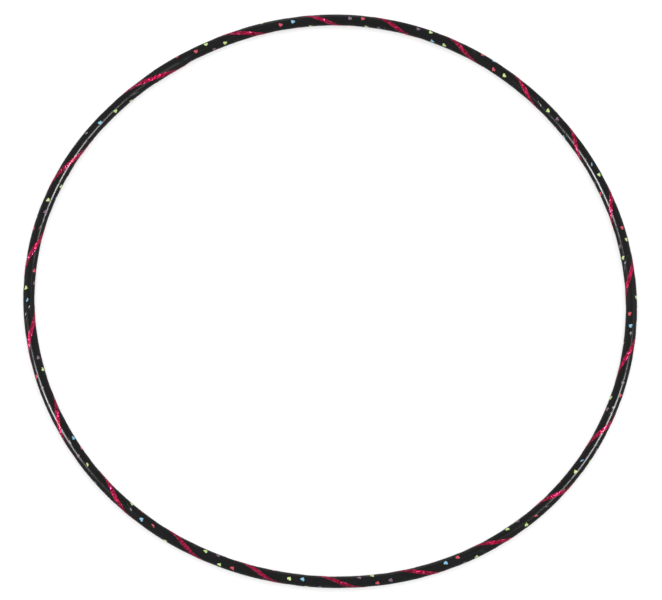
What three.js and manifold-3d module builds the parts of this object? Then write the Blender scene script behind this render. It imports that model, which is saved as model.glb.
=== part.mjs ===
// Rhythmic hoop. A ring of black plastic pipe is closed by an inner plug and two blind rivets,
// covered there by a short sleeve, and wound with a heart tape and a narrow glitter stripe.
// Millimetres, +Z up. The hoop lies flat, its box stands on Z = 0 and is centred on the Z axis.
//
// Every layer uses one shared net of points: stations along the ring, and lines that run round it
// with the tape. So each layer is the one below it with a larger radius, and no two layers cut.

import * as THREE from 'three';
import Module from 'manifold-3d';

const wasm = await Module();
wasm.setup();

const DEGREE = Math.PI / 180;
const FULL_TURN = 2 * Math.PI;

// Driving dimensions.
const OUTER_DIAMETER = 880;
const PIPE_RADIUS = 8;
const PIPE_WALL = 2.5;
const TAPE_THICKNESS = 0.2;
const LAYER_GAP = 0.05;
const HEART_TAPE_WIDTH = 25;
const STRIPE_WIDTH = 6;
const HEART_TAPE_START = 11.5;      // across the tape, from the stripe's middle to the heart tape's edge
const TURNS = 22;                   // turns of tape in one lap of the ring
const STATIONS_PER_TURN = 12;

// The joint in the pipe.
const JOINT_BEARING = 128 * DEGREE; // counter-clockwise from +X, seen from above
const BUTT_GAP = 0.5;
const COVERED_STATIONS = 2;         // the plug and the sleeve reach this many stations each way
const PLUG_GAP = 0.2;
const PLUG_WALL = 1.4;
const SLEEVE_THICKNESS = 0.25;
const RIVET_ROOM = 1;               // how far the sleeve stands off the pipe over the rivet heads
const RIVET_DISTANCE = 16;          // from the butt to each rivet, along the ring
const TAPE_SPLICE_BEARING = 158 * DEGREE;
const SPLICE_GAP = 0.3;

// A blind rivet. Depths are measured from the pipe's surface towards the pipe's middle.
const RIVET = {
  headRadius: 2.6,
  headHeight: 0.4,
  shankRadius: 1.6,
  coreRadius: 0.95,
  bulbRadius: 2,
  bulbStart: 5.1,
  bulbEnd: 6.6,
  tailRadius: 1.3,
  tailLength: 0.8,
  clearance: 0.1,
};

// The ring is hand-made plastic and is not quite round. Each entry adds `height` millimetres to the
// radius at `lobes` bearings, the first of them `bearing` degrees from +X.
const OUT_OF_ROUND = [
  { lobes: 3, height: 2.7, bearing: -42 },
  { lobes: 4, height: 0.85, bearing: -8.5 },
  { lobes: 5, height: 0.8, bearing: 18.6 },
];

// The tape is wound by hand, so its pitch drifts, and it is longest over the joint. Each entry moves
// the tape round the pipe by up to `swing` degrees, `waves` times in a lap.
const STRIPE_START = 174.3 * DEGREE;
const PITCH_DRIFT = [
  { waves: 1, swing: 144, bearing: 75.7 },
  { waves: 2, swing: 62, bearing: -66.5 },
  { waves: 3, swing: 28, bearing: -20.5 },
  { waves: 4, swing: 21, bearing: 23 },
  { waves: 5, swing: 16, bearing: -24.5 },
];

const TAPE_RADIUS = PIPE_RADIUS + LAYER_GAP + TAPE_THICKNESS;
const RING_RADIUS = OUTER_DIAMETER / 2 - TAPE_RADIUS;
const PITCH = FULL_TURN * RING_RADIUS / TURNS;
const HELIX_ANGLE = Math.atan(FULL_TURN * TAPE_RADIUS / PITCH);
const TURN_WIDTH = PITCH * Math.sin(HELIX_ANGLE);   // one turn of tape, measured across the tape
const STATIONS = TURNS * STATIONS_PER_TURN;

function sumOf(list, term) {
  return list.reduce((total, entry) => total + term(entry), 0);
}

function centreRadius(bearing) {
  return RING_RADIUS + sumOf(OUT_OF_ROUND,
    ({ lobes, height, bearing: first }) => height * Math.cos(lobes * (bearing - first * DEGREE)));
}

// Angle of the stripe's middle round the pipe at a bearing: 0 on top, a quarter turn on the outside.
function woundAngle(bearing) {
  return STRIPE_START + TURNS * bearing + sumOf(PITCH_DRIFT,
    ({ waves, swing, bearing: first }) => swing * DEGREE * Math.cos(waves * (bearing - first * DEGREE)));
}

// Bearing of a station. Stations lie at equal steps of the tape's turning, from the joint onwards.
function stationBearing(station) {
  const target = woundAngle(JOINT_BEARING) + station * FULL_TURN / STATIONS_PER_TURN;
  let low = JOINT_BEARING - FULL_TURN;
  let high = JOINT_BEARING + 2 * FULL_TURN;
  while (high - low > 1e-9) {
    const middle = (low + high) / 2;
    if (woundAngle(middle) < target) low = middle;
    else high = middle;
  }
  return (low + high) / 2;
}

function bearingsOf(firstStation, lastStation, step = 1) {
  const bearings = [];
  for (let station = firstStation; station <= lastStation; station += step) {
    bearings.push(stationBearing(station));
  }
  return bearings;
}

// The same bearings with both ends pulled in, so that two pieces keep `gap` between their ends.
function withEndGap(bearings, gap) {
  const trim = gap / 2 / RING_RADIUS;
  const last = bearings.length - 1;
  return bearings.map((bearing, i) => {
    if (i === 0) return bearing + trim;
    return i === last ? bearing - trim : bearing;
  });
}

// The point at a bearing along the ring, at an angle round the pipe and a distance from its middle.
function ringPoint(bearing, angle, radius) {
  const reach = centreRadius(bearing) + radius * Math.sin(angle);
  return [reach * Math.cos(bearing), reach * Math.sin(bearing), radius * Math.cos(angle)];
}

// Angles of the net's lines round the pipe, counted from the stripe's middle.
function lineAngle(across) {
  return FULL_TURN * across / TURN_WIDTH;
}

function evenly(from, to, pieces) {
  return Array.from({ length: pieces + 1 }, (_, i) => lineAngle(from + (to - from) * i / pieces));
}

const STRIPE_EDGE = STRIPE_WIDTH / 2;
const HEART_TAPE_END = HEART_TAPE_START + HEART_TAPE_WIDTH;
const STRIPE_LINES = evenly(-STRIPE_EDGE, STRIPE_EDGE, 2);
const HEART_LINES = evenly(HEART_TAPE_START, HEART_TAPE_END, 6);
const BARE_LINES = [
  lineAngle((STRIPE_EDGE + HEART_TAPE_START) / 2),
  lineAngle((HEART_TAPE_END + TURN_WIDTH - STRIPE_EDGE) / 2),
];
const ALL_LINES = [...STRIPE_LINES, BARE_LINES[0], ...HEART_LINES, BARE_LINES[1]];
const BORE_LINES = Array.from({ length: 10 }, (_, i) => i * FULL_TURN / 10);

// Radius of the sleeve's inside, which is wide over the rivet heads on the ring's inner side.
function sleeveInside(angle) {
  return PIPE_RADIUS + LAYER_GAP + RIVET_ROOM * Math.max(0, -Math.sin(angle));
}

function sleeveOutside(angle) {
  return sleeveInside(angle) + SLEEVE_THICKNESS;
}

const SLEEVE_END = stationBearing(COVERED_STATIONS) - JOINT_BEARING;
const SLEEVE_BEGIN = JOINT_BEARING - stationBearing(-COVERED_STATIONS);

function isOverSleeve(bearing) {
  const turned = bearing - JOINT_BEARING;
  const fromJoint = turned - FULL_TURN * Math.round(turned / FULL_TURN);
  const slack = 1e-6;
  return fromJoint > -SLEEVE_BEGIN - slack && fromJoint < SLEEVE_END + slack;
}

function tapeInside(angle, bearing) {
  return (isOverSleeve(bearing) ? sleeveOutside(angle) : PIPE_RADIUS) + LAYER_GAP;
}

function tapeOutside(angle, bearing) {
  return tapeInside(angle, bearing) + TAPE_THICKNESS;
}

// One layer's points: a row for each bearing, a column for each line. `twisted` lines follow the tape.
function netOf(bearings, lines, radiusAt, twisted = true) {
  return bearings.map((bearing) => lines.map((line) => {
    const angle = line + (twisted ? woundAngle(bearing) : 0);
    return ringPoint(bearing, angle, radiusAt(angle, bearing));
  }));
}

class SolidBuilder {
  constructor() {
    this.positions = [];
    this.faces = [];
  }

  addNet(net) {
    return net.map((row) => row.map((point) => {
      this.positions.push(...point);
      return this.positions.length / 3 - 1;
    }));
  }

  addTriangle(a, b, c) {
    this.faces.push(a, b, c);
  }

  // Triangles over a net, facing out, or in when `inward`. Rows or columns can close on themselves.
  coverNet(ids, { inward = false, closedRound = false, closedAlong = false } = {}) {
    const rows = ids.length;
    const columns = ids[0].length;
    for (let i = 0; i < (closedAlong ? rows : rows - 1); i += 1) {
      for (let j = 0; j < (closedRound ? columns : columns - 1); j += 1) {
        const near = ids[i];
        const far = ids[(i + 1) % rows];
        const next = (j + 1) % columns;
        const corners = [[near[j], near[next], far[j]], [near[next], far[next], far[j]]];
        corners.forEach(([a, b, c]) => (inward ? this.addTriangle(a, c, b) : this.addTriangle(a, b, c)));
      }
    }
  }

  // A wall that joins an outer rim to the inner rim below it. The rims run the same way.
  joinRims(outer, inner, closed = false) {
    for (let i = 0; i < (closed ? outer.length : outer.length - 1); i += 1) {
      const next = (i + 1) % outer.length;
      this.addTriangle(outer[next], outer[i], inner[i]);
      this.addTriangle(outer[next], inner[i], inner[next]);
    }
  }

  geometry() {
    const geometry = new THREE.BufferGeometry();
    geometry.setAttribute('position', new THREE.Float32BufferAttribute(this.positions, 3));
    geometry.setIndex(this.faces);
    geometry.computeVertexNormals();
    return geometry;
  }
}

function reversed(list) {
  return [...list].reverse();
}

// A strip of tape: open round the pipe, with two long edges and two ends.
function tapeSolid(bearings, lines) {
  const solid = new SolidBuilder();
  const outer = solid.addNet(netOf(bearings, lines, tapeOutside));
  const inner = solid.addNet(netOf(bearings, lines, tapeInside));
  const last = lines.length - 1;
  solid.coverNet(outer);
  solid.coverNet(inner, { inward: true });
  const rimOf = (net) => [
    ...net[0],
    ...net.slice(1).map((row) => row[last]),
    ...reversed(net[net.length - 1]).slice(1),
    ...reversed(net).slice(1, -1).map((row) => row[0]),
  ];
  solid.joinRims(rimOf(outer), rimOf(inner), true);
  return solid.geometry();
}

// A short piece of pipe: closed round, with two ring-shaped ends.
function sleeveSolid(bearings, lines, outsideAt, insideAt, twisted) {
  const solid = new SolidBuilder();
  const outer = solid.addNet(netOf(bearings, lines, outsideAt, twisted));
  const inner = solid.addNet(netOf(bearings, lines, insideAt, twisted));
  const last = bearings.length - 1;
  solid.coverNet(outer, { closedRound: true });
  solid.coverNet(inner, { closedRound: true, inward: true });
  solid.joinRims(outer[0], inner[0], true);
  solid.joinRims(reversed(outer[last]), reversed(inner[last]), true);
  return solid.geometry();
}

// A solid bar along the ring, with a flat end at each of its two bearings.
function barSolid(bearings, lines, radius) {
  const solid = new SolidBuilder();
  const net = solid.addNet(netOf(bearings, lines, () => radius));
  const last = bearings.length - 1;
  const [[start], [end]] = solid.addNet([bearings[0], bearings[last]]
    .map((bearing) => [ringPoint(bearing, 0, 0)]));
  solid.coverNet(net, { closedRound: true });
  lines.forEach((_, i) => {
    const next = (i + 1) % lines.length;
    solid.addTriangle(start, net[0][next], net[0][i]);
    solid.addTriangle(end, net[last][i], net[last][next]);
  });
  return solid.geometry();
}

// A bar that goes all the way round, to be cut out of the pipe as its bore.
function boreSolid(bearings, radius) {
  const solid = new SolidBuilder();
  const net = solid.addNet(netOf(bearings, BORE_LINES, () => radius, false));
  solid.coverNet(net, { closedRound: true, closedAlong: true });
  return solid.geometry();
}

function toManifold(geometry) {
  return new wasm.Manifold(new wasm.Mesh({
    numProp: 3,
    vertProperties: new Float32Array(geometry.getAttribute('position').array),
    triVerts: new Uint32Array(geometry.getIndex().array),
  }));
}

function fromManifold(manifold) {
  const mesh = manifold.getMesh();
  const geometry = new THREE.BufferGeometry();
  geometry.setAttribute('position', new THREE.Float32BufferAttribute(mesh.vertProperties, 3));
  geometry.setIndex([...mesh.triVerts]);
  geometry.computeVertexNormals();
  return geometry;
}

function cutFrom(geometry, cutters) {
  const cut = cutters.reduce((rest, cutter) => rest.subtract(cutter), toManifold(geometry));
  return fromManifold(cut);
}

// The rivets stand on the ring's inner side. Local +Y of a rivet points out of the pipe there.
const RIVET_BEARINGS = {
  left: JOINT_BEARING + RIVET_DISTANCE / RING_RADIUS,
  right: JOINT_BEARING - RIVET_DISTANCE / RING_RADIUS,
};

function placeOnInnerSide(object, bearing) {
  const reach = centreRadius(bearing) - PIPE_RADIUS;
  object.position.set(reach * Math.cos(bearing), reach * Math.sin(bearing), 0);
  object.rotation.z = bearing + Math.PI / 2;
}

function rivetHole(bearing) {
  const length = PIPE_RADIUS + RIVET.headHeight;
  const hole = wasm.Manifold.cylinder(length, RIVET.shankRadius + RIVET.clearance,
    RIVET.shankRadius + RIVET.clearance, 16);
  const place = new THREE.Object3D();
  placeOnInnerSide(place, bearing);
  const turnDown = new THREE.Matrix4().makeRotationX(Math.PI / 2);
  const startOutside = new THREE.Matrix4().makeTranslation(0, RIVET.headHeight, 0);
  place.updateMatrix();
  return hole.transform(place.matrix.clone().multiply(startOutside).multiply(turnDown).elements);
}

function lathe(profile) {
  const points = profile.map(([radius, height]) => new THREE.Vector2(radius, height));
  return new THREE.LatheGeometry(points, 20);
}

function rivetBodyGeometry() {
  const { headRadius, headHeight, shankRadius, coreRadius, bulbRadius, bulbStart, bulbEnd } = RIVET;
  const neck = 0.4;
  return lathe([
    [coreRadius, -bulbEnd],
    [bulbRadius - neck, -bulbEnd],
    [bulbRadius, -(bulbStart + bulbEnd) / 2],
    [shankRadius, -bulbStart],
    [shankRadius, LAYER_GAP],
    [headRadius, LAYER_GAP],
    [headRadius * 0.85, headHeight * 0.6],
    [headRadius * 0.45, headHeight],
    [coreRadius, headHeight],
    [coreRadius, -bulbEnd],
  ]);
}

function rivetMandrelGeometry() {
  const { headHeight, coreRadius, bulbEnd, tailRadius, tailLength, clearance } = RIVET;
  const pinRadius = coreRadius - clearance;
  const tailTop = -bulbEnd - clearance;
  return lathe([
    [0, tailTop - tailLength],
    [tailRadius * 0.7, tailTop - tailLength],
    [tailRadius, tailTop - tailLength / 2],
    [tailRadius, tailTop],
    [pinRadius, tailTop],
    [pinRadius, headHeight / 2],
    [0, headHeight / 2],
  ]);
}

function named(name, geometry, { color, roughness, metalness = 0 }) {
  const mesh = new THREE.Mesh(geometry, new THREE.MeshStandardMaterial({ color, roughness, metalness }));
  mesh.name = name;
  return mesh;
}

const BLACK_PIPE = { color: 0x161616, roughness: 0.3 };
const GREY_PLUG = { color: 0x8a8a86, roughness: 0.5 };
const BLACK_SLEEVE = { color: 0x1c1c1e, roughness: 0.35 };
const HEART_TAPE = { color: 0x1a1a1e, roughness: 0.22 };
const GLITTER_TAPE = { color: 0xc9256b, roughness: 0.3 };
const ALUMINIUM = { color: 0xb8babd, roughness: 0.35, metalness: 1 };
const STEEL = { color: 0x8e9093, roughness: 0.3, metalness: 1 };

const holes = Object.values(RIVET_BEARINGS).map(rivetHole);

function pipe() {
  const bearings = withEndGap(bearingsOf(0, STATIONS), BUTT_GAP);
  const solid = barSolid(bearings, ALL_LINES, PIPE_RADIUS);
  const bore = boreSolid(bearingsOf(0, STATIONS - 1, COVERED_STATIONS), PIPE_RADIUS - PIPE_WALL);
  return named('pipe', cutFrom(solid, [toManifold(bore), ...holes]), BLACK_PIPE);
}

function plug() {
  const outside = PIPE_RADIUS - PIPE_WALL - PLUG_GAP;
  const bearings = bearingsOf(-COVERED_STATIONS, COVERED_STATIONS, COVERED_STATIONS);
  const solid = sleeveSolid(bearings, BORE_LINES, () => outside, () => outside - PLUG_WALL, false);
  return named('joint_plug', cutFrom(solid, holes), GREY_PLUG);
}

function sleeve() {
  const bearings = bearingsOf(-COVERED_STATIONS, COVERED_STATIONS);
  return named('joint_sleeve', sleeveSolid(bearings, ALL_LINES, sleeveOutside, sleeveInside, true),
    BLACK_SLEEVE);
}

function rivets() {
  return Object.entries(RIVET_BEARINGS).flatMap(([side, bearing]) => {
    const body = named(`rivet_body_${side}`, rivetBodyGeometry(), ALUMINIUM);
    const mandrel = named(`rivet_mandrel_${side}`, rivetMandrelGeometry(), STEEL);
    [body, mandrel].forEach((mesh) => placeOnInnerSide(mesh, bearing));
    return [body, mandrel];
  });
}

function tapes() {
  const turned = woundAngle(TAPE_SPLICE_BEARING) - woundAngle(JOINT_BEARING);
  const splice = Math.round(turned / FULL_TURN * STATIONS_PER_TURN);
  const bearings = withEndGap(bearingsOf(splice, splice + STATIONS), SPLICE_GAP);
  return [
    named('heart_tape', tapeSolid(bearings, HEART_LINES), HEART_TAPE),
    named('glitter_stripe', tapeSolid(bearings, STRIPE_LINES), GLITTER_TAPE),
  ];
}

const hoop = new THREE.Group();
hoop.add(pipe(), plug(), sleeve(), ...rivets(), ...tapes());
hoop.updateMatrixWorld(true);
const box = new THREE.Box3().setFromObject(hoop, true);
const middle = box.getCenter(new THREE.Vector3());
hoop.position.set(-middle.x, -middle.y, -box.min.z);

export default hoop;
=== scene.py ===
"""Finished look of the rhythmic hoop: a taped ring of black pipe, lying on a pale studio floor.

The shape code is in millimetres, and ring_points() turns what it makes into metres. The floor, the lights
and the camera are in metres. Angles round the pipe are 0 on top and a quarter turn on the ring's outside.
Bearings round the ring are counter-clockwise from +X, seen from above.
"""

import math

import bpy
import numpy as np
from mathutils import Matrix, Vector


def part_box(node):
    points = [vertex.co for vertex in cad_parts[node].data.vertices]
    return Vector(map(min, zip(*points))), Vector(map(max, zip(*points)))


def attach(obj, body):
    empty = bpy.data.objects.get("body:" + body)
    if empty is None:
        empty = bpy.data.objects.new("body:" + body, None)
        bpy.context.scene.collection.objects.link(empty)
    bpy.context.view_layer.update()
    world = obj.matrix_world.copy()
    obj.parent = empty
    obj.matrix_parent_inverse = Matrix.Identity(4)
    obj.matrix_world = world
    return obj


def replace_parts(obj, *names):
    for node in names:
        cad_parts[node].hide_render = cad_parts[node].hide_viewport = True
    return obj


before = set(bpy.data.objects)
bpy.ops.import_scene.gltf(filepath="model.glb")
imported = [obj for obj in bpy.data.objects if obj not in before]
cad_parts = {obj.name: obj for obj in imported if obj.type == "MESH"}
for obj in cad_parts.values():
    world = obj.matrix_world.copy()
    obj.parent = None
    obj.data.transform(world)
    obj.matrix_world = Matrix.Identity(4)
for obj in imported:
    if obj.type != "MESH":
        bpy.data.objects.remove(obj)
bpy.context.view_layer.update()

MM = 0.001
FULL_TURN = 2 * math.pi

# The pipe of the CAD model: its radius, and the height of its middle above the floor.
pipe_low, pipe_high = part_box("pipe")
PIPE_RADIUS = (pipe_high.z - pipe_low.z) / 2 / MM
PIPE_HEIGHT = (pipe_high.z + pipe_low.z) / 2 / MM

# The ring, as in the CAD model.
OUTER_RADIUS = 440               # over the tapes
TAPE_THICKNESS = 0.25            # the CAD model's tape and the gap under it
RING_RADIUS = OUTER_RADIUS - PIPE_RADIUS - TAPE_THICKNESS

# The sleeve over the joint holds the tapes off the pipe, and most over the rivet heads.
JOINT_BEARING = math.radians(128)
SLEEVE_HALF_LENGTH = 28
SLEEVE_FADE = 14                 # length of the slope at each end, half of it past the end
SLEEVE_LIFT = 0.3
RIVET_LIFT = 0.9                 # added on the ring's inner side, where the rivet heads are

# The ring isn't quite round: (waves in a lap, height in mm, bearing of a crest in degrees).
OUT_OF_ROUND = [(3, 2.7, -42), (4, 0.85, -8.5), (5, 0.8, 18.6)]

# The tapes are wound from the splice, all the way round to a short overlap on their own start.
TURNS = 22
SPLICE_BEARING = math.radians(158)
OVERLAP = 5
STEPS_PER_TURN = 56
HEART_TAPE_WIDTH = 25
HEART_TAPE_START = 11.5          # across the tape, from the stripe's middle to the heart tape's edge
HEART_TAPE_SEED = 1
STRIPE_WIDTH = 5.6
STRIPE_SEED = 2
EDGE_INSET = 0.12                # a tape reaches its full thickness this far in from its edge
EDGE_HEIGHT = 0.6 * TAPE_THICKNESS
SKIN_GAP = 0.02                  # keeps skins that lie on each other apart

# The tapes' pitch drifts: (waves in a lap, swing round the pipe and bearing of a crest in degrees).
STRIPE_START = math.radians(174.3)
PITCH_DRIFT = [(1, 144, 75.7), (2, 62, -66.5), (3, 28, -20.5), (4, 21, 23), (5, 16, -24.5)]

PITCH = FULL_TURN * RING_RADIUS / TURNS
TAPE_RADIUS = PIPE_RADIUS + TAPE_THICKNESS
HELIX_ANGLE = math.atan(FULL_TURN * TAPE_RADIUS / PITCH)
TURN_WIDTH = PITCH * math.sin(HELIX_ANGLE)

# Small puckers of the film: the waves in a lap, and the height of each.
PUCKERS = (97, 173, 301, 523)
PUCKER_HEIGHT = 0.008
GATHER_HEIGHT = 0.014            # added on the ring's inner side, where the film is gathered

# The printed hearts stand in rows along the tape, and each row is shifted against the one beside it.
HEART_WIDTH = 6.0
HEART_HEIGHT = 5.6
ROW_SPACING = 9.3
ROW_SHIFT = 16.3
FIRST_ROW = 19.8                 # across the tape, from the stripe's middle to the first row
HEART_ROWS = {
    0: ["green", "red", "red", "lilac", "blue", "lilac"],
    1: ["lilac", "blue", "green", "green", "green", "red"],
}
INK_COLOURS = {
    "green": (0.35, 0.47, 0.16),
    "blue": (0.14, 0.33, 0.45),
    "red": (0.41, 0.038, 0.06),
    "lilac": (0.12, 0.068, 0.105),
    # pale is no ink: it is the colour of the painted highlights, pale marks put where the tape's edges
    # glint.
    "pale": (0.3, 0.29, 0.33),
}

# Hearts are numbered along the tape, clockwise from a bearing, and their spacing drifts:
# (waves in a lap, size in hearts, clockwise angle of a crest in degrees).
NUMBERING_BEARING = math.radians(145)
NUMBER_THERE = -58.02
HEARTS_PER_LAP = 103.1
HEART_DRIFT = [(1, 0.547, -76.3), (2, 0.36, -70), (3, 0.085, -21), (4, 0.05, -16)]
FIRST_PRINTED = {0: -57, 1: -59}      # in each row, at the tape's start
LAST_PRINTED = 41

# Hearts of the first row that lie in a gather of the film: (heart number: share of the height left).
PINCHED_HEARTS = {-26: 0.3, -8: 0.3, -4: 0.5, 19: 0.5, 24: 0.5, 34: 0.5}

# The print starts off its line, and wanders twice later: (heart number, mm across, hearts long).
START_SLIP = 7
WANDERS = [(-51.7, 2.8, 1.9), (-11, -2.3, 3)]

# Painted highlights: pale marks that stand in for glints on the tape's raised edges: (heart number, mm
# across from the stripe's middle).
PAINTED_GLINTS = [(-59.3, 20.9), (-30.4, 12.8), (-20.2, 35.2), (-16.1, 34.6), (-11.7, 32.6), (20.3, 35.8),
           (25.3, 35.8), (33.3, 15.5), (33.7, 13.7)]
PAINTED_GLINT_LENGTH = 4.5
PAINTED_GLINT_WIDTH = 1.2

# A print is rings of points from its outline in, and its rim is sunk into the film:
# (share of the outline's size, height over the tape).
PRINT_RINGS = [(1, -0.1), (1, 0.03), (0.7, 0.03), (0.4, 0.03), (0.12, 0.03)]
RING_POINTS = 24

# Lights far to the sides, a broad one and a taller one near its middle on each, which draw thin bright
# streaks along the pipe: (name, direction, width, height, watts).
SIDE_LIGHT_DISTANCE = 48.0
SIDE_LIGHTS = [
    ("right_light", (0.68, 0.035, 0.72), 18.6, 10.2, 7200),
    ("right_light_middle", (0.7, 0.09, 0.72), 5.0, 18.0, 6400),
    ("left_light", (-0.79, -0.09, 0.56), 18.6, 9.5, 6700),
    ("left_light_middle", (-0.79, -0.085, 0.56), 5.0, 20.0, 9500),
]


def wave_sum(waves, bearing):
    """Sum of cosines, from a list of (waves in a lap, height, bearing of a crest in degrees)."""
    return sum(
        height * np.cos(count * (bearing - math.radians(crest))) for count, height, crest in waves
    )


def smooth_step(x):
    x = np.clip(x, 0, 1)
    return x * x * (3 - 2 * x)


def inner_side(angle):
    """1 where the pipe faces the middle of the ring, and 0 from its top and bottom outwards."""
    return np.clip(-np.sin(angle), 0, 1)


def centre_radius(bearing):
    """From the middle of the ring to the middle of the pipe."""
    return RING_RADIUS + wave_sum(OUT_OF_ROUND, bearing)


def wound_angle(bearing):
    """Angle of the stripe's middle round the pipe."""
    return STRIPE_START + TURNS * bearing + np.radians(wave_sum(PITCH_DRIFT, bearing))


def across_angle(across):
    """Angle round the pipe between two lines on the tape that are so far apart."""
    return FULL_TURN * across / TURN_WIDTH


def sleeve_lift(bearing, angle):
    """How far the sleeve over the joint holds the tapes off the pipe."""
    turned = (bearing - JOINT_BEARING + math.pi) % FULL_TURN - math.pi
    from_end = SLEEVE_HALF_LENGTH - np.abs(turned) * RING_RADIUS
    return smooth_step(from_end / SLEEVE_FADE + 0.5) * (SLEEVE_LIFT + RIVET_LIFT * inner_side(angle))


def wrinkles(bearing, angle, seed):
    """Height of the film's puckers."""
    rng = np.random.default_rng(seed)
    height = 0
    for waves in PUCKERS:
        phase = rng.uniform(0, FULL_TURN)
        twist = rng.integers(1, 4)
        height = height + np.sin(waves * bearing + twist * angle + phase)
    return height * (PUCKER_HEIGHT + GATHER_HEIGHT * inner_side(angle))


def ring_offset():
    """From the middle of the round ring to the middle of its box, where the CAD model has its origin."""
    bearing = np.linspace(0, FULL_TURN, 3601)
    reach = centre_radius(bearing) + PIPE_RADIUS
    x = reach * np.cos(bearing)
    y = reach * np.sin(bearing)
    middle = (pipe_low + pipe_high) / 2 / MM
    return middle.x - (x.min() + x.max()) / 2, middle.y - (y.min() + y.max()) / 2


OFFSET_X, OFFSET_Y = ring_offset()


def ring_points(bearing, angle, radius):
    """Points in metres, from arrays of bearing, angle round the pipe and distance from its middle."""
    reach = centre_radius(bearing) + radius * np.sin(angle)
    x = reach * np.cos(bearing) + OFFSET_X
    y = reach * np.sin(bearing) + OFFSET_Y
    z = PIPE_HEIGHT + radius * np.cos(angle)
    return np.stack(np.broadcast_arrays(x, y, z), axis=-1) * MM


def band_faces(near, far, count):
    """Quads between two closed rings of points, each given by the number of its first point."""
    faces = []
    for j in range(count):
        k = (j + 1) % count
        faces.append((near + j, near + k, far + k, far + j))
    return faces


def loop_faces(rows, columns, closed_along=False):
    """Quads of a net whose columns close on themselves, with end caps unless it closes along too."""
    faces = []
    for i in range(rows if closed_along else rows - 1):
        faces += band_faces(i * columns, (i + 1) % rows * columns, columns)
    if not closed_along:
        last = (rows - 1) * columns
        faces.append(tuple(reversed(range(columns))))
        faces.append(tuple(range(last, last + columns)))
    return faces


def new_piece(name, points, faces, material):
    mesh = bpy.data.meshes.new(name)
    mesh.from_pydata(points.reshape(-1, 3).tolist(), [], faces)
    mesh.polygons.foreach_set("use_smooth", [True] * len(mesh.polygons))
    mesh.materials.append(material)
    mesh.update()
    piece = bpy.data.objects.new(name, mesh)
    bpy.context.scene.collection.objects.link(piece)
    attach(piece, "root")
    return piece


def pipe_surface(material):
    rows, columns = 720, 40
    bearing = np.linspace(0, FULL_TURN, rows, endpoint=False)[:, None]
    angle = np.linspace(0, FULL_TURN, columns, endpoint=False)[None, :]
    points = ring_points(bearing, angle, PIPE_RADIUS)
    return new_piece("pipe_surface", points, loop_faces(rows, columns, True), material)


def sleeve_surface(material):
    """The shrunk film over the joint, which slopes down to the pipe at both ends."""
    rows, columns = 60, 48
    sunk_end = 0.05                  # both ends dip just under the pipe's surface
    reach = (SLEEVE_HALF_LENGTH + SLEEVE_FADE / 2) / RING_RADIUS
    bearing = np.linspace(JOINT_BEARING - reach, JOINT_BEARING + reach, rows)[:, None]
    angle = np.linspace(0, FULL_TURN, columns, endpoint=False)[None, :]
    outer = PIPE_RADIUS + sleeve_lift(bearing, angle) - SKIN_GAP
    outer[[0, -1], :] = PIPE_RADIUS - sunk_end
    points = ring_points(bearing, angle, outer)
    return new_piece("sleeve_film", points, loop_faces(rows, columns), material)


def tape_profile(start, width, steps):
    """(across, height) of a tape's section: up one edge, over the top and back underneath."""
    end = start + width
    over = np.linspace(start + EDGE_INSET, end - EDGE_INSET, steps)
    under = np.linspace(end, start, steps // 2)
    section = [(start, EDGE_HEIGHT)]
    section += [(across, TAPE_THICKNESS) for across in over]
    section += [(end, EDGE_HEIGHT)]
    section += [(across, 0.0) for across in under]
    return np.array(section)


def wound_tape(name, start, width, steps, material, seed):
    """A tape wound round the pipe, from its start across the turn and its width."""
    overlap = OVERLAP / RING_RADIUS
    lap_end = SPLICE_BEARING + FULL_TURN
    bearing = np.linspace(SPLICE_BEARING, lap_end + overlap, TURNS * STEPS_PER_TURN)[:, None]
    across, height = tape_profile(start, width, steps).T
    angle = wound_angle(bearing) + across_angle(across)[None, :]
    on_itself = smooth_step((bearing - lap_end) / overlap * 2 + 1)
    radius = PIPE_RADIUS + sleeve_lift(bearing, angle) + height[None, :]
    radius = radius + on_itself * (TAPE_THICKNESS + SKIN_GAP)
    radius = radius + wrinkles(bearing, angle, seed) * (height[None, :] > 0)
    points = ring_points(bearing, angle, radius)
    return new_piece(name, points, loop_faces(len(bearing), len(across)), material)


def heart_outline():
    """Points round a heart 1 wide and 1 high about its middle, lobes towards +v and tip towards -v."""
    t = np.linspace(0, FULL_TURN, RING_POINTS, endpoint=False)
    u = 16 * np.sin(t) ** 3
    v = 13 * np.cos(t) - 5 * np.cos(2 * t) - 2 * np.cos(3 * t) - np.cos(4 * t)
    v = v - (v.max() + v.min()) / 2
    return u / np.ptp(u), v / np.ptp(v)


def heart_bearing(number):
    """Bearing of a heart on the first row, by its number."""
    clockwise = np.radians(np.linspace(-20, 350, 3701))     # the tape's lap and a little more
    numbers = NUMBER_THERE + HEARTS_PER_LAP * clockwise / FULL_TURN + wave_sum(HEART_DRIFT, clockwise)
    return NUMBERING_BEARING - np.interp(number, numbers, clockwise)


def wander(number):
    """How far the print has slipped across, at a heart's number."""
    slip = -START_SLIP * 0.5 ** (number - FIRST_PRINTED[1])
    bulges = [size * math.exp(-(((number - at) / length) ** 2)) for at, size, length in WANDERS]
    return slip + sum(bulges)


def on_the_tape(number, along, across, height):
    """Points on the tape, from arrays of mm along and across from a heart's place on the first row."""
    bearing = heart_bearing(number)
    step = 0.001
    slope = (wound_angle(bearing + step) - wound_angle(bearing - step)) / (2 * step)
    helix = math.atan(slope * TAPE_RADIUS / RING_RADIUS)
    at = bearing - (along * math.cos(helix) + across * math.sin(helix)) / RING_RADIUS
    turn = (across * math.cos(helix) - along * math.sin(helix)) / TAPE_RADIUS
    angle = wound_angle(bearing) + across_angle(FIRST_ROW) + turn
    radius = TAPE_RADIUS + height + sleeve_lift(at, angle) + wrinkles(at, angle, HEART_TAPE_SEED)
    return ring_points(at, angle, radius)


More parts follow.
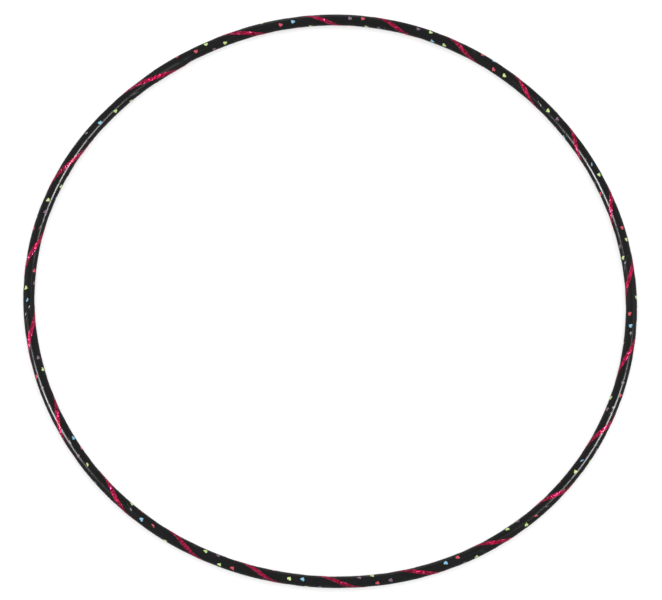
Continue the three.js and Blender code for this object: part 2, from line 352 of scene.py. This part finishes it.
def printed_shape(number, along, across):
    """A thin print on the tape, from its outline in mm along and across."""
    share, height = np.array(PRINT_RINGS).T[:, :, None]
    along = along.mean() + (along - along.mean()) * share
    across = across.mean() + (across - across.mean()) * share
    return on_the_tape(number, along, across, height)


def print_faces(shapes):
    """Faces of several prints: the bands between each one's rings, and a cap on the innermost."""
    faces = []
    for shape in range(shapes):
        first = shape * len(PRINT_RINGS) * RING_POINTS
        innermost = first + (len(PRINT_RINGS) - 1) * RING_POINTS
        for ring in range(first, innermost, RING_POINTS):
            faces += band_faces(ring, ring + RING_POINTS, RING_POINTS)
        faces.append(tuple(range(innermost, innermost + RING_POINTS)))
    return faces


def heart_prints(colours, row):
    """(colour, print) of every heart in a row."""
    wide, high = heart_outline()
    for number in range(FIRST_PRINTED[row], LAST_PRINTED + 1):
        pinch = PINCHED_HEARTS.get(number, 1) if row == 0 else 1
        along = wide * HEART_WIDTH + row * ROW_SHIFT
        across = high * HEART_HEIGHT * pinch + row * ROW_SPACING + wander(number)
        yield colours[number % len(colours)], printed_shape(number, along, across)


# Pale ovals laid on the tape like prints, as painted highlights where its edges glint.
def painted_glint_marks():
    turn = np.linspace(0, FULL_TURN, RING_POINTS, endpoint=False)
    for number, middle in PAINTED_GLINTS:
        along = np.cos(turn) * PAINTED_GLINT_LENGTH / 2
        across = np.sin(turn) * PAINTED_GLINT_WIDTH / 2 + middle - FIRST_ROW
        yield printed_shape(number, along, across)


def printed_pieces(inks):
    """All the prints of one colour are one piece, and the pale painted highlights at the tape's edges are
    one more.
    """
    shapes = {colour: [] for colour in inks}
    for row, colours in HEART_ROWS.items():
        for colour, shape in heart_prints(colours, row):
            shapes[colour].append(shape)
    # The pale piece holds painted highlights, not print.
    shapes["pale"] += painted_glint_marks()
    for colour, prints in shapes.items():
        new_piece(f"prints_{colour}", np.array(prints), print_faces(len(prints)), inks[colour])


def add_node(tree, kind, inputs=None, **settings):
    """A new node with its settings, and its inputs set to values or joined to outputs."""
    node = tree.nodes.new(kind)
    for key, value in settings.items():
        setattr(node, key, value)
    for key, value in (inputs or {}).items():
        if isinstance(value, bpy.types.NodeSocket):
            tree.links.new(value, node.inputs[key])
        else:
            node.inputs[key].default_value = value
    return node


class Finish:
    """A new material with a Principled shader, and short ways to add and join its nodes."""

    def __init__(self, name):
        self.material = bpy.data.materials.new(name)
        self.material.use_nodes = True
        self.tree = self.material.node_tree
        self.shader = self.tree.nodes["Principled BSDF"]

    def add(self, kind, inputs=None, **settings):
        return add_node(self.tree, kind, inputs, **settings)

    def set(self, name, value):
        self.shader.inputs[name].default_value = value

    def join(self, output, name):
        self.tree.links.new(output, self.shader.inputs[name])

    def place(self):
        return self.add("ShaderNodeTexCoord").outputs["Object"]

    def noise(self, scale, detail=4.0):
        inputs = {"Vector": self.place(), "Scale": scale, "Detail": detail, "Roughness": 0.6}
        return self.add("ShaderNodeTexNoise", inputs).outputs["Fac"]

    def cells(self, scale):
        """Random colours, one in each cell."""
        node = self.add("ShaderNodeTexVoronoi", {"Vector": self.place(), "Scale": scale})
        return node.outputs["Color"]

    def channel(self, colour, name):
        return self.add("ShaderNodeSeparateColor", {"Color": colour}).outputs[name]

    def vector(self, operation, inputs):
        return self.add("ShaderNodeVectorMath", inputs, operation=operation).outputs["Vector"]

    def ramp(self, factor, stops):
        node = self.add("ShaderNodeValToRGB", {"Fac": factor})
        elements = node.color_ramp.elements
        while len(elements) < len(stops):
            elements.new(0.5)
        for element, (position, colour) in zip(elements, stops):
            element.position = position
            element.color = (*colour, 1)
        return node.outputs["Color"]

    def mottle(self, factor, dark, light):
        self.join(self.ramp(factor, [(0.3, dark), (0.7, light)]), "Base Color")

    def uneven_gloss(self, factor, low, high):
        """Roughness from low to high."""
        node = self.add("ShaderNodeMapRange", {"Value": factor, "To Min": low, "To Max": high})
        self.join(node.outputs["Result"], "Roughness")

    def bump(self, height, strength):
        inputs = {"Height": height, "Strength": strength, "Distance": 0.2 * MM}
        self.join(self.add("ShaderNodeBump", inputs).outputs["Normal"], "Normal")


def plastic(name, dark, light, rough, texture):
    """Plastic or film: faint cloudy tone, uneven gloss and a fine surface texture."""
    finish = Finish(name)
    finish.mottle(finish.noise(scale=90), dark, light)
    finish.uneven_gloss(finish.noise(scale=420), *rough)
    finish.bump(finish.noise(scale=1500, detail=6), texture)
    return finish.material


def ink(name, colour):
    """Opaque print: slightly mottled, with a soft gloss."""
    finish = Finish(name)
    pale = tuple(min(1, c * 1.12 + 0.02) for c in colour)
    deep = tuple(c * 0.86 for c in colour)
    finish.mottle(finish.noise(scale=1400), deep, pale)
    finish.uneven_gloss(finish.noise(scale=600), low=0.25, high=0.4)
    return finish.material


def glitter(name):
    """Magenta glitter film: each flake has its own tone and its own tilt, and some patches are brighter."""
    finish = Finish(name)
    flakes = finish.cells(scale=1100.0)
    patches = finish.cells(scale=430.0)
    tones = {0: finish.channel(flakes, "Red"), 1: finish.channel(patches, "Green")}
    tone = finish.add("ShaderNodeMath", tones, operation="MULTIPLY").outputs["Value"]
    stops = [
        (0.02, (0.16, 0.0, 0.011)),
        (0.2, (0.42, 0.001, 0.035)),
        (0.45, (0.66, 0.002, 0.095)),
        (0.8, (1.0, 0.1, 0.36)),
    ]
    finish.join(finish.ramp(tone, stops), "Base Color")
    finish.uneven_gloss(tone, low=0.4, high=0.22)
    finish.set("Metallic", 0.85)
    finish.set("Coat Weight", 0.45)
    finish.set("Coat Roughness", 0.12)
    centred = finish.vector("ADD", {0: flakes, 1: (-0.5, -0.5, -0.5)})
    tilt = finish.vector("SCALE", {0: centred, "Scale": 0.6})
    facing = finish.add("ShaderNodeNewGeometry").outputs["Normal"]
    tilted = finish.vector("ADD", {0: facing, 1: tilt})
    finish.join(finish.vector("NORMALIZE", {0: tilted}), "Normal")
    return finish.material


def metal(name, colour, rough):
    """Plain metal with turning marks."""
    finish = Finish(name)
    waves = {"Vector": finish.place(), "Scale": 900.0, "Distortion": 2.0}
    marks = finish.add("ShaderNodeTexWave", waves).outputs["Fac"]
    finish.mottle(finish.noise(scale=300), tuple(c * 0.8 for c in colour), colour)
    finish.set("Metallic", 1.0)
    finish.uneven_gloss(marks, rough, rough + 0.12)
    return finish.material


def finish_hidden_nodes():
    """The plug and the rivets, inside the pipe, keep their CAD shape and get their plastic or metal."""
    finishes = {
        "joint_plug": plastic(
            "grey_plug",
            dark=(0.2, 0.2, 0.19),
            light=(0.27, 0.27, 0.26),
            rough=(0.4, 0.6),
            texture=0.3,
        ),
        "rivet_body": metal("rivet_aluminium", colour=(0.7, 0.7, 0.72), rough=0.3),
        "rivet_mandrel": metal("mandrel_steel", colour=(0.5, 0.5, 0.52), rough=0.25),
    }
    for name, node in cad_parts.items():
        for start, material in finishes.items():
            if name.startswith(start):
                node.data.materials.clear()
                node.data.materials.append(material)


def pale_floor():
    reach = 12.0
    finish = Finish("studio_floor")
    finish.mottle(finish.noise(scale=6), (0.64, 0.64, 0.64), (0.68, 0.68, 0.68))
    finish.set("Roughness", 0.9)
    finish.set("Specular IOR Level", 0.0)
    corners = [(-reach, -reach, 0), (reach, -reach, 0), (reach, reach, 0), (-reach, reach, 0)]
    mesh = bpy.data.meshes.new("floor")
    mesh.from_pydata(corners, [], [(0, 1, 2, 3)])
    mesh.materials.append(finish.material)
    floor = bpy.data.objects.new("floor", mesh)
    bpy.context.scene.collection.objects.link(floor)
    floor.visible_glossy = False


def softbox(name, direction, distance, width, height, power):
    """A rectangular light that shines from a direction at the middle of the ring."""
    light = bpy.data.lights.new(name, "AREA")
    light.shape = "RECTANGLE"
    light.size = width
    light.size_y = height
    light.energy = power
    holder = bpy.data.objects.new(name, light)
    towards = Vector(direction).normalized()
    holder.location = towards * distance
    holder.rotation_euler = towards.to_track_quat("Z", "Y").to_euler()
    bpy.context.scene.collection.objects.link(holder)
    return light


def white_room():
    """Even white surroundings for diffuse light, which glossy surfaces see darker, and darkest overhead."""
    world = bpy.data.worlds.new("studio")
    world.use_nodes = True
    tree = world.node_tree
    background = tree.nodes["Background"]
    background.inputs["Color"].default_value = (1, 1, 1, 1)
    direction = add_node(tree, "ShaderNodeTexCoord").outputs["Generated"]
    upwards = add_node(tree, "ShaderNodeSeparateXYZ", {"Vector": direction}).outputs["Z"]
    fade = {"Value": upwards, "From Min": -0.1, "From Max": 0.5, "To Min": 0.3, "To Max": 0.24}
    gloss = add_node(tree, "ShaderNodeMapRange", fade, interpolation_type="SMOOTHSTEP").outputs["Result"]
    is_glossy = add_node(tree, "ShaderNodeLightPath").outputs["Is Glossy Ray"]
    strength = add_node(tree, "ShaderNodeMix", {"Factor": is_glossy, "A": 1.0, "B": gloss})
    tree.links.new(strength.outputs["Result"], background.inputs["Strength"])
    bpy.context.scene.world = world


def studio():
    white_room()
    for name, direction, width, height, power in SIDE_LIGHTS:
        light = softbox(name, direction, SIDE_LIGHT_DISTANCE, width, height, power)
        light.use_shadow = False
    # A small card behind the ring lights its far side.
    softbox("far_card", (-0.19, 1.55, 0.33), distance=1.58, width=0.58, height=0.36, power=0.7)
    bpy.context.scene.view_settings.view_transform = "Standard"


def camera():
    """Looks down from the front at 69 degrees, slightly rolled, from far enough to be nearly parallel."""
    elevation = math.radians(68.9)
    roll = math.radians(4.4)
    distance = 6.0
    width_seen = 0.9497              # across the picture, at the ring
    left, nearer = 0.8, 7.05         # from the middle of the ring to the middle of the picture, in mm
    aim = Vector(((OFFSET_X - left) * MM, (OFFSET_Y - nearer) * MM, PIPE_HEIGHT * MM))
    forward = Vector((0, math.cos(elevation), -math.sin(elevation)))
    up = Vector((0, math.sin(elevation), math.cos(elevation)))
    right = Vector((1, 0, 0))
    rolled_right = right * math.cos(roll) + up * math.sin(roll)
    rolled_up = up * math.cos(roll) - right * math.sin(roll)
    data = bpy.data.cameras.new("camera")
    data.sensor_width = 36
    data.lens = data.sensor_width * distance / width_seen
    holder = bpy.data.objects.new("camera", data)
    axes = Matrix((rolled_right, rolled_up, -forward)).transposed()
    holder.matrix_world = Matrix.Translation(aim - forward * distance) @ axes.to_4x4()
    bpy.context.scene.collection.objects.link(holder)
    bpy.context.scene.camera = holder


camera()
studio()
pale_floor()

pipe_plastic = plastic(
    "pipe_plastic",
    dark=(0.002, 0.002, 0.002),
    light=(0.004, 0.004, 0.004),
    rough=(0.16, 0.3),
    texture=0.15,
)
sleeve_plastic = plastic(
    "sleeve_film",
    dark=(0.003, 0.003, 0.003),
    light=(0.005, 0.005, 0.005),
    rough=(0.25, 0.4),
    texture=0.3,
)
heart_film = plastic(
    "heart_film",
    dark=(0.002, 0.0035, 0.0025),
    light=(0.005, 0.0035, 0.0055),
    rough=(0.14, 0.28),
    texture=0.15,
)
# The pale material is for the painted highlights at the tape's edges, not an ink.
inks = {colour: ink(f"ink_{colour}", tone) for colour, tone in INK_COLOURS.items()}

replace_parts(pipe_surface(pipe_plastic), "pipe")
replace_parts(sleeve_surface(sleeve_plastic), "joint_sleeve")
heart_tape = wound_tape(
    "heart_tape_film",
    start=HEART_TAPE_START,
    width=HEART_TAPE_WIDTH,
    steps=32,
    material=heart_film,
    seed=HEART_TAPE_SEED,
)
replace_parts(heart_tape, "heart_tape")
stripe = wound_tape(
    "glitter_tape_film",
    start=-STRIPE_WIDTH / 2,
    width=STRIPE_WIDTH,
    steps=10,
    material=glitter("glitter"),
    seed=STRIPE_SEED,
)
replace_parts(stripe, "glitter_stripe")
printed_pieces(inks)
finish_hidden_nodes()
